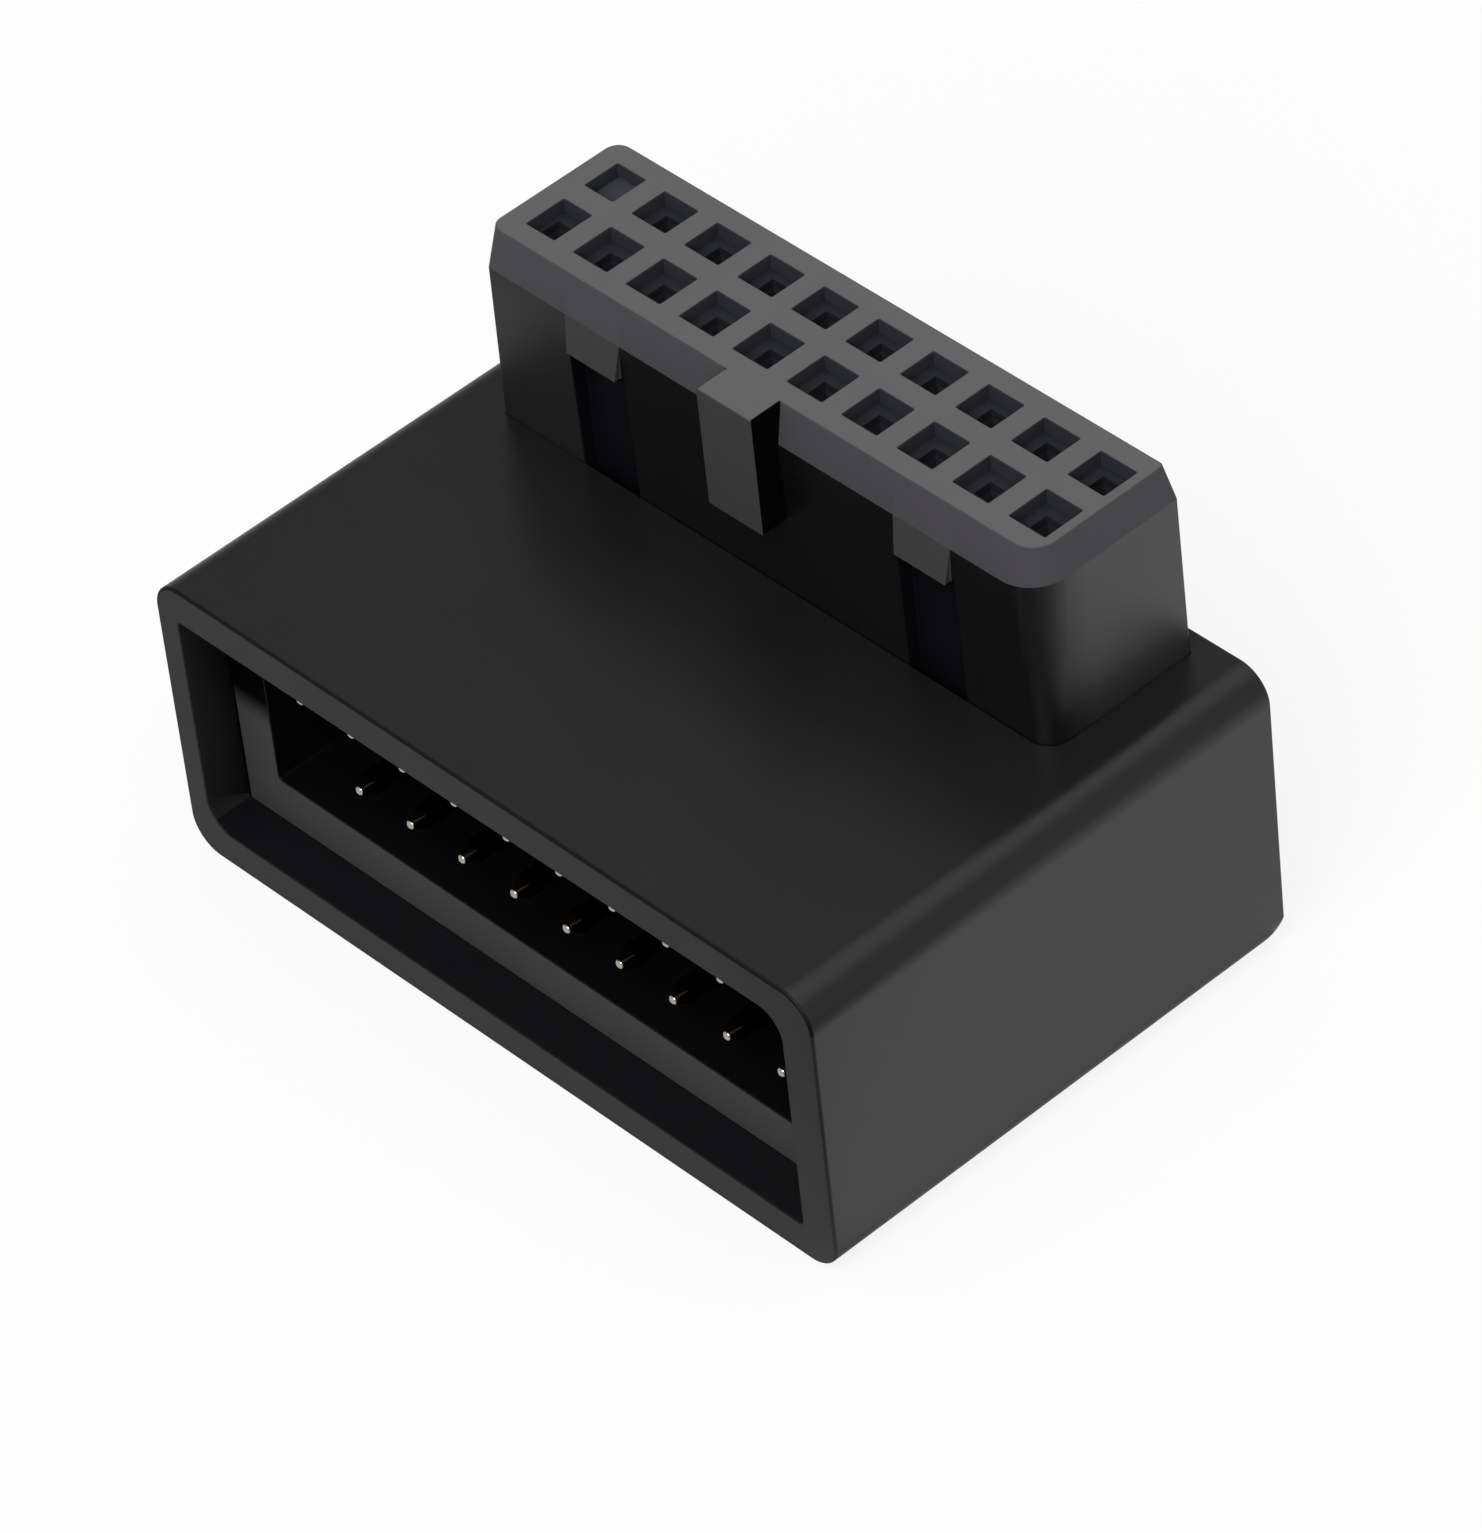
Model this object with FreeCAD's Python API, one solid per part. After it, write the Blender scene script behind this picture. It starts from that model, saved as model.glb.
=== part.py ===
import FreeCAD, Part
import os
from FreeCAD import Vector

# Right-angle adapter for a 19-pin internal board header.
# Millimetres. The origin is the middle of the shell's flat bottom, +Z is up, the open front faces -Y
# and the two rows of contacts run along X.

os.makedirs("parts", exist_ok=True)

# Contact field, the same for the header pins and for the socket
pitch = 2.0
column_count = 10
key_column = 0  # the first place of the lower pin row and of the back socket row holds no contact

# Clearances between pieces
slip_clearance = 0.05  # header and cover inside the shell
window_clearance = 0.1  # the fine dark line round the socket block
foot_clearance = 0.13  # from the block's foot to the shell's back wall
contact_clearance = 0.05  # contacts in their chambers
press_clearance = 0.01  # pins in the header's floor
solder_clearance = 0.1  # pins and tails in the board's holes
board_clearance = 0.2  # from the board's edges to the shell
board_header_gap = 0.1

# Shell walls and edges
left_wall = 0.82
right_wall = 1.18
top_wall = 1.1
bottom_wall = 1.09
back_wall = 1.0
long_edge_radius = 1.0
back_edge_radius = 0.06
front_edge_chamfer = 0.12
mouth_radius_top_left = 0.15
mouth_radius_top_right = 0.8
mouth_radius_bottom_left = 0.5
mouth_radius_bottom_right = 0.15

# Box header
header_recess = 1.39  # from the shell's front to the header's rim
header_depth = 6.27
header_left_wall = 1.4
header_right_wall = 0.7
header_lower_wall = 1.5
header_upper_wall = 0.75
cavity_depth = 5.1
cavity_end_gap = 1.28  # from the outermost pins' middle to the cavity's ends
cavity_row_gap = 1.43  # from the rows' middle lines to the cavity's floor and ceiling
notch_width = 2.4
notch_depth = 4.2

# Header pins
pin_size = 0.5
pin_tip_size = 0.26
pin_tip_length = 0.4
pin_tip_setback = 0.1  # the tips end this far behind the header's rim
pin_bend_gap = 0.15  # from the header's back to the lower row's bends
pin_bend_radius = 0.3  # inside of the bend
leg_row_spacing = 1.4
leg_socket_gap = 0.45  # from the upper row's legs to the socket block

# Circuit board and the cover's posts
board_thickness = 1.0
board_standoff = 0.82
tail_length = 0.6  # what stands out under the board
post_radius = 0.45
post_side_offset = 1.0  # from the outermost contacts' middle
post_edge_distance = 1.6  # from the board's front and back edges

# Socket block
socket_left_gap = 1.15  # from the first column's middle to the block's left end
socket_right_gap = 1.01  # from the last column's middle to the block's right end
socket_depth = 5.12
lean_left = 0.2  # the walls' foot stands this much further out than their top
lean_right = 0.08
lean_front = -0.08
socket_rise = 6.4  # above the shell's top
socket_back_margin = 0.66  # from the shell's back to the block's back
socket_corner_radius = 0.06  # the block's upright edges, all but the front right one
socket_front_right_radius = 0.7
top_front_left_radius = 0.28  # the corners of the block's top face
top_front_right_radius = 0.75
top_back_right_radius = 0.15
top_back_left_radius = 0.45
band_height = 1.28
band_inset_front = 0.22
band_inset_back = 0.3
band_inset_side = 0.06
foot_standoff = 0.3  # from the board to the block's underside
mouth_width = 1.26
front_mouth_length = 1.33
back_mouth_length = 1.17
first_mouth_trim = 0.2  # the first column's mouths start this much further in
mouth_depth = 0.45
throat_size = 0.6
throat_depth = 0.75
chamber_size = 1.1

# Key rib, latch ramps and slots on the block's front
rib_width = 2.0
rib_depth = 0.83
rib_height = 3.8
rib_shift = -0.2  # from the contacts' middle
ramp_top_width = 2.05
ramp_foot_width = 1.85
ramp_end_distance = 3.99  # from the block's ends to the ramps' middles
ramp_height = 1.12
ramp_depth = 0.2
slot_width = 2.1
slot_cut = 0.5
slot_foot = 0.7  # the slots reach this far below the shell's inner top

# Socket contacts
contact_width = 0.95
contact_thickness = 0.7
contact_blade = 0.18
contact_body_height = 5.5
contact_body_lift = 0.35  # above the foot's underside
contact_gap = 0.4  # between the blades where they grip
contact_grip_below_tip = 0.7
tail_width = 0.5
tail_thickness = 0.3

# Places along X, from the shell's middle
columns_half = (column_count - 1) / 2 * pitch
left_reach = left_wall + slip_clearance + header_left_wall + cavity_end_gap + columns_half
right_reach = right_wall + slip_clearance + header_right_wall + cavity_end_gap + columns_half
half_width = (left_reach + right_reach) / 2
connector_x = (left_reach - right_reach) / 2
column_xs = [connector_x - columns_half + index * pitch for index in range(column_count)]
inner_left = -half_width + left_wall
inner_right = half_width - right_wall
socket_left = column_xs[0] - socket_left_gap
socket_right = column_xs[-1] + socket_right_gap

# Places along Z, from the shell's bottom
row_heights = [bottom_wall + header_lower_wall + cavity_row_gap + row * pitch for row in (0, 1)]
cavity_low = row_heights[0] - cavity_row_gap
cavity_high = row_heights[1] + cavity_row_gap
header_top = cavity_high + header_upper_wall
inner_top = header_top + slip_clearance
shell_height = inner_top + top_wall
socket_top = shell_height + socket_rise
band_bottom = socket_top - band_height
mouth_floor = socket_top - mouth_depth
chamber_top = mouth_floor - throat_depth
board_bottom = bottom_wall + board_standoff
board_top = board_bottom + board_thickness
tail_end = board_bottom - tail_length
foot_bottom = board_top + foot_standoff

# Places along Y, from the header's rim and then from the shell's middle
first_leg = header_depth + pin_bend_gap + pin_bend_radius + pin_size / 2
rim_to_socket = first_leg + leg_row_spacing + pin_size / 2 + leg_socket_gap
shell_depth = header_recess + rim_to_socket + socket_depth + socket_back_margin
half_depth = shell_depth / 2
front_y = -half_depth
inner_back = half_depth - back_wall
header_front = front_y + header_recess
header_back = header_front + header_depth
leg_rows = [header_front + first_leg + row * leg_row_spacing for row in (0, 1)]
socket_front = header_front + rim_to_socket
socket_back = socket_front + socket_depth
socket_y = (socket_front + socket_back) / 2
socket_rows = [socket_y - pitch / 2, socket_y + pitch / 2]
overcut = 1.0  # how far a cutting tool runs past the face that it opens


def block(low, high):
    """A box between two opposite corners."""
    size = [high[axis] - low[axis] for axis in range(3)]
    return Part.makeBox(size[0], size[1], size[2], Vector(*low))


def rounded_outline(low, high, radii, place):
    """A closed outline of four lines and four arcs.

    low and high are opposite corners in the outline's own plane, radii are for the corners
    low-low, high-low, high-high and low-high, and place turns a plane point into a space point.
    """
    half_root = 0.5 ** 0.5
    corners = (
        (low[0], low[1], 1, 1),
        (high[0], low[1], -1, 1),
        (high[0], high[1], -1, -1),
        (low[0], high[1], 1, -1),
    )
    arcs = []
    for (u, v, inward_u, inward_v), radius in zip(corners, radii):
        centre = (u + inward_u * radius, v + inward_v * radius)
        middle = (centre[0] - inward_u * radius * half_root, centre[1] - inward_v * radius * half_root)
        on_side = (u, centre[1])
        on_end = (centre[0], v)
        turn = (on_side, middle, on_end) if inward_u == inward_v else (on_end, middle, on_side)
        arcs.append([place(*point) for point in turn])
    edges = []
    for index, arc in enumerate(arcs):
        following = arcs[(index + 1) % len(arcs)]
        edges.append(Part.Arc(*arc).toShape())
        edges.append(Part.LineSegment(arc[2], following[0]).toShape())
    return Part.Wire(edges)


def rounded_prism_along_y(low, high, radii, start_y, end_y):
    """A bar along Y with its section in X and Z."""
    outline = rounded_outline(low, high, radii, lambda x, z: Vector(x, start_y, z))
    return Part.Face(outline).extrude(Vector(0, end_y - start_y, 0))


def rounded_prism_along_z(low, high, radii, start_z, end_z):
    """A bar along Z with its section in X and Y."""
    outline = rounded_outline(low, high, radii, lambda x, y: Vector(x, y, start_z))
    return Part.Face(outline).extrude(Vector(0, 0, end_z - start_z))


def square_outline(x, z, half, y):
    """A square outline across Y."""
    corners = [(-half, -half), (half, -half), (half, half), (-half, half), (-half, -half)]
    return Part.makePolygon([Vector(x + across, y, z + up) for across, up in corners])


def edges_in_plane_y(shape, y):
    """The edges that lie wholly in one plane across Y."""
    tolerance = 1e-6
    boxes = [(edge, edge.BoundBox) for edge in shape.Edges]
    return [edge for edge, box in boxes if abs(box.YMin - y) < tolerance and abs(box.YMax - y) < tolerance]


def pin_places():
    """Row (0 lower, 1 upper) and column of each header pin."""
    return [(row, column) for row in (0, 1) for column in range(column_count) if (row, column) != (0, key_column)]


def contact_places():
    """Row (0 front, 1 back) and column of each socket contact."""
    return [(row, column) for row in (0, 1) for column in range(column_count) if (row, column) != (1, key_column)]


def socket_outline(growth, lean=1):
    """Corners and corner radii of the socket block's foot, grown by a clearance; lean 0 is for the band."""
    low = (socket_left - lean_left * lean - growth, socket_front - lean_front * lean - growth)
    high = (socket_right + lean_right * lean + growth, socket_back + growth)
    radii = (socket_corner_radius, socket_front_right_radius, socket_corner_radius, socket_corner_radius)
    return low, high, [radius + growth for radius in radii]


def board_extent():
    """Opposite corners of the circuit board."""
    low = (inner_left + board_clearance, header_back + board_header_gap, board_bottom)
    high = (inner_right - board_clearance, inner_back - board_clearance, board_top)
    return low, high


def make_shell():
    """The moulded shell: open at the front and underneath, with a window for the socket block."""
    radii = (long_edge_radius,) * 4
    body = rounded_prism_along_y((-half_width, 0), (half_width, shell_height), radii, front_y, half_depth)
    largest_fillet = long_edge_radius * 0.95
    body = body.makeFillet(min(back_edge_radius, largest_fillet), edges_in_plane_y(body, half_depth))
    body = body.makeChamfer(front_edge_chamfer, edges_in_plane_y(body, front_y))
    mouth_radii = (
        mouth_radius_bottom_left,
        mouth_radius_bottom_right,
        mouth_radius_top_right,
        mouth_radius_top_left,
    )
    mouth = rounded_prism_along_y(
        (inner_left, bottom_wall), (inner_right, inner_top), mouth_radii, front_y - overcut, header_front
    )
    chamber = block((inner_left, header_front, -overcut), (inner_right, inner_back, inner_top))
    low, high, window_radii = socket_outline(window_clearance)
    window = rounded_prism_along_z(low, high, window_radii, inner_top, shell_height + overcut)
    return body.cut([mouth, chamber, window]).removeSplitter()


def make_bottom_cover():
    """The plate that closes the shell from below, with four posts that carry the board."""
    plate = block(
        (inner_left + slip_clearance, header_front + slip_clearance, 0),
        (inner_right - slip_clearance, inner_back - slip_clearance, bottom_wall),
    )
    board_low, board_high = board_extent()
    posts = []
    for x in (column_xs[0] - post_side_offset, column_xs[-1] + post_side_offset):
        for y in (board_low[1] + post_edge_distance, board_high[1] - post_edge_distance):
            posts.append(Part.makeCylinder(post_radius, board_standoff, Vector(x, y, bottom_wall)))
    return plate.fuse(posts).removeSplitter()


def make_header_housing():
    """The box header: a deep cavity with a floor for the pins and a key notch in its top wall."""
    low = (inner_left + slip_clearance, header_front, bottom_wall)
    high = (inner_right - slip_clearance, header_back, header_top)
    cavity = block(
        (column_xs[0] - cavity_end_gap, header_front - overcut, cavity_low),
        (column_xs[-1] + cavity_end_gap, header_front + cavity_depth, cavity_high),
    )
    notch = block(
        (connector_x - notch_width / 2, header_front - overcut, row_heights[1]),
        (connector_x + notch_width / 2, header_front + notch_depth, header_top + overcut),
    )
    hole = pin_size / 2 + press_clearance
    cuts = [cavity, notch]
    for row, column in pin_places():
        x = column_xs[column]
        z = row_heights[row]
        cuts.append(block((x - hole, header_front, z - hole), (x + hole, header_back + overcut, z + hole)))
    return block(low, high).cut(cuts)


def make_pin(row, column):
    """One square pin: a tapered tip, a straight run through the header's floor, a bend and a leg."""
    x = column_xs[column]
    z = row_heights[row]
    leg_y = leg_rows[row]
    half = pin_size / 2
    tip_y = header_front + pin_tip_setback
    shaft_y = tip_y + pin_tip_length
    bend_y = leg_y - half - pin_bend_radius
    bend_z = z - half - pin_bend_radius
    tip_outlines = [square_outline(x, z, pin_tip_size / 2, tip_y), square_outline(x, z, half, shaft_y)]
    tip = Part.makeLoft(tip_outlines, True, True)
    shaft = block((x - half, shaft_y, z - half), (x + half, bend_y, z + half))
    section = Part.Face(square_outline(x, z, half, bend_y))
    bend = section.revolve(Vector(x, bend_y, bend_z), Vector(1, 0, 0), -90)
    leg = block((x - half, leg_y - half, tail_end), (x + half, leg_y + half, bend_z))
    return tip.fuse([shaft, bend, leg]).removeSplitter()


def make_circuit_board():
    """The board, drilled for the pins' legs and the contacts' tails."""
    leg_hole = pin_size / 2 * 2 ** 0.5 + solder_clearance
    tail_hole = (tail_width ** 2 + tail_thickness ** 2) ** 0.5 / 2 + solder_clearance
    drills = [(column_xs[column], leg_rows[row], leg_hole) for row, column in pin_places()]
    drills += [(column_xs[column], socket_rows[row], tail_hole) for row, column in contact_places()]
    start = board_bottom - overcut
    length = board_thickness + 2 * overcut
    cuts = [Part.makeCylinder(radius, length, Vector(x, y, start)) for x, y, radius in drills]
    return block(*board_extent()).cut(cuts)


def make_socket_housing():
    """The socket block: a body with a tapered top band, a foot inside the shell, rib, ramps and slots."""
    foot_low, foot_high, radii = socket_outline(0)
    low, high, radii = socket_outline(0, 0)
    base = rounded_outline(foot_low, foot_high, radii, lambda x, y: Vector(x, y, shell_height))
    wide = rounded_outline(low, high, radii, lambda x, y: Vector(x, y, band_bottom))
    walls = Part.makeLoft([base, wide], True, True)
    top_low = (low[0] + band_inset_side, low[1] + band_inset_front)
    top_high = (high[0] - band_inset_side, high[1] - band_inset_back)
    top_radii = (
        top_front_left_radius,
        top_front_right_radius,
        top_back_right_radius,
        top_back_left_radius,
    )
    narrow = rounded_outline(top_low, top_high, top_radii, lambda x, y: Vector(x, y, socket_top))
    band = Part.makeLoft([wide, narrow], True, True)
    neck = rounded_prism_along_z(foot_low, foot_high, radii, inner_top, shell_height)
    foot_back = min(socket_back, inner_back - foot_clearance)
    foot = rounded_prism_along_z(foot_low, (foot_high[0], foot_back), radii, foot_bottom, inner_top)
    rib_x = connector_x + rib_shift
    rib = block(
        (rib_x - rib_width / 2, socket_front - rib_depth, socket_top - rib_height),
        (rib_x + rib_width / 2, socket_front + band_inset_front + slot_cut, socket_top),
    )
    middles = (socket_left + ramp_end_distance, socket_right - ramp_end_distance)
    ramps = [make_ramp(middle) for middle in middles]
    slots = [make_slot(middle) for middle in middles]
    return walls.fuse([band, neck, foot, rib] + ramps).cut(slots + socket_cuts()).removeSplitter()


def make_ramp(middle):
    """A latch ramp under the band: flush at its top, narrower and proud at its foot."""
    sections = ((ramp_top_width, 0, band_bottom), (ramp_foot_width, ramp_depth, band_bottom - ramp_height))
    outlines = []
    for width, depth, z in sections:
        low = (middle - width / 2, socket_front - depth)
        high = (middle + width / 2, socket_front + slot_cut)
        corners = [low, (high[0], low[1]), high, (low[0], high[1]), low]
        outlines.append(Part.makePolygon([Vector(x, y, z) for x, y in corners]))
    return Part.makeLoft(outlines, True, True)


def make_slot(middle):
    """The tool that cuts the slot from a ramp's foot down past the shell's top wall."""
    return block(
        (middle - slot_width / 2, socket_front - overcut, inner_top - slot_foot),
        (middle + slot_width / 2, socket_front + slot_cut, band_bottom - ramp_height),
    )


def socket_cuts():
    """The mouths, and behind all but the key place a square throat and a contact chamber."""
    cuts = []
    for row, length in enumerate((front_mouth_length, back_mouth_length)):
        for column, x in enumerate(column_xs):
            y = socket_rows[row]
            mouth_left = x - mouth_width / 2 + (first_mouth_trim if column == 0 else 0)
            mouth_right = x + mouth_width / 2
            cuts.append(
                block(
                    (mouth_left, y - length / 2, mouth_floor),
                    (mouth_right, y + length / 2, socket_top + overcut),
                )
            )
            if (row, column) in contact_places():
                cuts.append(square_bar(x, y, throat_size, chamber_top, mouth_floor))
                cuts.append(square_bar(x, y, chamber_size, foot_bottom - overcut, chamber_top))
    return cuts


def square_bar(x, y, size, start_z, end_z):
    """An upright square bar round a middle line."""
    return block((x - size / 2, y - size / 2, start_z), (x + size / 2, y + size / 2, end_z))


def make_contact(row, column):
    """One fork contact: a body in the foot, two blades that grip a pin, and a solder tail."""
    x = column_xs[column]
    y = socket_rows[row]
    half = min(contact_width, chamber_size - 2 * contact_clearance) / 2
    body_bottom = foot_bottom + contact_body_lift
    body_top = body_bottom + contact_body_height
    tip = chamber_top - contact_clearance
    grip = tip - contact_grip_below_tip
    half_gap = contact_gap / 2
    inner = half - contact_blade
    right_half = [
        (tail_width / 2, tail_end),
        (tail_width / 2, body_bottom),
        (half, body_bottom),
        (half, body_top),
        (half_gap + contact_blade, grip),
        (half, tip),
        (inner, tip),
        (half_gap, grip),
        (inner, body_top),
    ]
    left_half = [(-across, up) for across, up in reversed(right_half)]
    start = y - contact_thickness / 2
    corners = [Vector(x + across, start, up) for across, up in right_half + left_half]
    fork = Part.Face(Part.makePolygon(corners + corners[:1])).extrude(Vector(0, contact_thickness, 0))
    trim = (contact_thickness - tail_thickness) / 2
    trims = []
    for low_y in (start, y + tail_thickness / 2):
        trims.append(block((x - half, low_y, tail_end), (x + half, low_y + trim, body_bottom)))
    return fork.cut(trims).removeSplitter()


pieces = {
    "shell": make_shell(),
    "bottom_cover": make_bottom_cover(),
    "header_housing": make_header_housing(),
    "circuit_board": make_circuit_board(),
    "socket_housing": make_socket_housing(),
}
for row, column in pin_places():
    row_name = ("lower", "upper")[row]
    pieces[f"header_pin_{row_name}_{column + 1:02d}"] = make_pin(row, column)
for row, column in contact_places():
    row_name = ("front", "back")[row]
    pieces[f"socket_contact_{row_name}_{column + 1:02d}"] = make_contact(row, column)

for name, shape in pieces.items():
    print(name, "solids", len(shape.Solids), "valid", shape.isValid(), "volume", round(shape.Volume, 3))
    shape.Solids[0].exportStep(f"parts/{name}.step")
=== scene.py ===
import math

import bpy
import numpy as np
from mathutils import Matrix, Vector
from mathutils.geometry import tessellate_polygon


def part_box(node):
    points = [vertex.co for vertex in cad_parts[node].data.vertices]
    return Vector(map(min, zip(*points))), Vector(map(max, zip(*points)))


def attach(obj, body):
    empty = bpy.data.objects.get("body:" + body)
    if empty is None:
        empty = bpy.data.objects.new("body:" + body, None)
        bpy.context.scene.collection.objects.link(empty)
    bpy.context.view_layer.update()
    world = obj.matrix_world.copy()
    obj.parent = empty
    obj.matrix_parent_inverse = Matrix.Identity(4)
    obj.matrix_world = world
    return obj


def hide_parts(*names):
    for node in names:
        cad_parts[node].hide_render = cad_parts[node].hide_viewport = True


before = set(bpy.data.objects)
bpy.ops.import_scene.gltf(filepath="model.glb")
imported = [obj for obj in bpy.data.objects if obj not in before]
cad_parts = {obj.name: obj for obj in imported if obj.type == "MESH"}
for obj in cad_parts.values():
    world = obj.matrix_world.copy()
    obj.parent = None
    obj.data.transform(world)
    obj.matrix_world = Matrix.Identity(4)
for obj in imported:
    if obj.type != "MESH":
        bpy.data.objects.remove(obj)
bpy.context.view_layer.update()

# A right-angle adapter for a 19-pin internal board header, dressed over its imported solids.
# The object's own sizes are written in millimetres, the scene is in metres.
# +Z is up, the open front faces -Y and the two rows of contacts run along X.

MM = 0.001


def solid_box(node):
    """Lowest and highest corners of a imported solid, in millimetres."""
    low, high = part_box(node)
    return np.array(low) / MM, np.array(high) / MM


shell_low, shell_high = solid_box("shell")
cover_low, cover_high = solid_box("bottom_cover")
header_low, header_high = solid_box("header_housing")
block_low, block_high = solid_box("socket_housing")
pin_names = sorted(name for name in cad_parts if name.startswith("header_pin_"))
contact_names = sorted(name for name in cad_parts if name.startswith("socket_contact_"))

# Contact field
PITCH = 2.0
COLUMNS = 10
upper_pin_xs = [corner[0] for name in pin_names if "upper" in name for corner in solid_box(name)]
connector_x = float(np.mean(upper_pin_xs))
column_xs = connector_x + PITCH * (np.arange(COLUMNS) - (COLUMNS - 1) / 2)

# Shell
TOP_WALL = 1.1
BOTTOM_WALL = 1.09
LEFT_WALL = 0.82
RIGHT_WALL = 1.18
BACK_WALL = 1.0
LONG_EDGE_RADIUS = 1.0
BACK_EDGE_RADIUS = 0.06
BACK_FOOT_RADIUS = 0.95
FRONT_EDGE = 0.08
MOUTH_RADII = (0.85, 0.15, 0.8, 0.15)
MOUTH_BACK_RADII = (0.15, 0.15, 0.8, 0.15)
MOUTH_TOP_TILT = 0.05
WINDOW_GAP = 0.012
WINDOW_EDGE = 0.02
RIM_SOFTENING = 0.04
HOLLOW_STEP = 0.01
shell_top = shell_high[2]
inner_top = shell_top - TOP_WALL
inner_left = shell_low[0] + LEFT_WALL
inner_right = shell_high[0] - RIGHT_WALL
inner_back = shell_high[1] - BACK_WALL

# Box header
HEADER_FLOOR = 1.17
HEADER_UPPER_WALL = 0.75
HEADER_CORNER_RADIUS = 0.05
HEADER_SOFTENING = 0.04
NOTCH_WIDTH = 2.4
NOTCH_DEPTH = 4.2
NOTCH_CORNER_RADIUS = 0.03
NOTCH_SKIN = 0.05
CAVITY_CORNER_RADIUS = 0.12
CAVITY_END_GAP = 1.28
CAVITY_ROW_GAP = 1.43
header_front = header_low[1]
header_back = header_high[1]

# Header pins
PIN_SIZE = 0.5
PIN_TIP_SIZE = 0.26
PIN_TIP_LENGTH = 0.4
PIN_EDGE = 0.035
PIN_TIP_ROUNDING = 0.36
PIN_BEND_RADIUS = 0.3
PIN_SMOOTH_ANGLE = 50.0
# Place along the tip, as a share of its length, and width there, as a share of the tip's width
PIN_TIP_PROFILE = ((0.0, 0.62), (0.04, 0.88), (0.12, 1.02), (0.25, 1.06))
# The same behind the tip, with the width as a share of the shaft's
PIN_SHOULDER_PROFILE = ((0.92, 0.965), (1.1, 1.0))
# Height over the leg's end, and width there, as a share of the shaft's
PIN_TAIL_PROFILE = ((0.15, 1.0), (0.03, 0.9), (0.0, 0.72))
# Number of loops round the end with the painted highlight
PIN_BRIGHT_LOOPS = 3

# Socket block
BAND_HEIGHT = 1.28
# Front, left, right and back
BAND_INSETS = (0.22, 0.0, 0.06, 0.3)
LEAN_LEFT = 0.2
LEAN_RIGHT = 0.08
LEAN_FRONT = -0.08
# Radii of the front left, front right, back right and back left corners
WALL_RADII = (0.06, 0.7, 0.06, 0.06)
BAND_RADII = (0.06, 1.15, 0.06, 0.06)
FRONT_SHARE_OF_CORNER = 0.32
TOP_RADII = (0.4, 0.75, 0.15, 0.45)
RIB_WIDTH = 2.0
RIB_DEPTH = 0.83
RIB_HEIGHT = 3.8
RIB_SHIFT = -0.2
RAMP_TOP_WIDTH = 2.05
RAMP_FOOT_WIDTH = 1.85
RAMP_HEIGHT = 1.12
RAMP_DEPTH = 0.2
RAMP_END_DISTANCE = 3.99
SLOT_WIDTH = 2.1
SLOT_CUT = 0.5
SLOT_FOOT = 0.7
MOUTH_WIDTH = 1.26
MOUTH_LENGTHS = (1.33, 1.17)
FIRST_MOUTH_TRIM = 0.2
MOUTH_DEPTH = 0.45
THROAT_SIZE = 0.6
THROAT_DEPTH = 0.75
THROAT_LIP = 0.25
THROAT_CORNER_RADIUS = 0.02
MOUTH_SOFTENING = 0.025
MOUTH_CORNER_RADIUS = 0.03
# Row and column of the blocked mouth, counted from the front and from the left
KEY_MOUTH = (1, 0)
CHAMBER_SIZE = 1.1
CHAMBER_FLOOR = 0.05
FOOT_BACK_GAP = 0.13
EDGE_SOFTENING = 0.03
# A ramp this proud is flush with the wall
FLUSH = 0.00001
# The block's outline has this many corners, and this one is at the front right
BLOCK_CORNERS = 16
FRONT_RIGHT_CORNER = 13
block_top = block_high[2]
rib_front = block_low[1]
front_wall = rib_front + RIB_DEPTH
wall_left = block_low[0] + LEAN_LEFT
wall_right = block_high[0] - LEAN_RIGHT
wall_back = block_high[1]
band_bottom = block_top - BAND_HEIGHT
row_ys = (front_wall + wall_back) / 2 + PITCH * np.array([-0.5, 0.5])

# Bottom cover
COVER_CORNER_RADIUS = 0.15
COVER_SOFTENING = 0.08
MARK_XS = (-8.5, 0.0, 8.5)
MARK_YS = (-3.6, 4.0)
MARK_RADIUS = 0.75
MARK_DEPTH = 0.05
MARK_EDGE_WIDTH = 0.02
MARK_EDGE_DEPTH = 0.015
POST_RADIUS = 0.45
POST_EDGE = 0.04
POST_END_DISTANCE = 1.0
POST_INSET = 1.6
BOARD_GAP_FRONT = 0.1
BOARD_GAP_BACK = 0.2

# Steps in the rounded corners and edges
SOFT_STEPS = 3
SHELL_CORNER_STEPS = 14
BACK_EDGE_STEPS = 12
FRONT_EDGE_STEPS = 5
BLOCK_CORNER_STEPS = 10
FRONT_STEPS_OF_CORNER = 3
MOUTH_CORNER_STEPS = 4
HEADER_CORNER_STEPS = 6
PIN_BEND_STEPS = 10
PIN_CORNER_STEPS = 3
COVER_CORNER_STEPS = 5
CIRCLE_POINTS = 32

# Zones, by their place in each piece's list of materials, some of them painted with light or shade; a face
# that isn't given one has the first
SHELL_RIM, SHELL_INSIDE, SHELL_EDGE, SHELL_LEFT_WALL = range(1, 5)
HEADER_CAVITY, HEADER_RIM = range(1, 3)
PIN_TIP = 1
(
    BLOCK_WALL,
    BLOCK_BAND,
    BLOCK_TOP,
    BLOCK_MOUTH,
    BLOCK_THROAT,
    BLOCK_FLANK,
    BLOCK_FRONT,
    BLOCK_SLOT,
    BLOCK_MOUTH_FLOOR,
    BLOCK_KEY_FLOOR,
    BLOCK_LEFT_END,
    BLOCK_SLOT_SIDE,
    BLOCK_RIB_SIDE,
) = range(13)

# Limits for calculation: the smallest radius, a side with no length, a corner that doesn't turn, and the grid
# per millimetre on which points are taken as one
SMALLEST_RADIUS = 0.02
NO_LENGTH = 1e-9
NO_TURN = 1e-6
JOINING_GRID = 1e5


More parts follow.
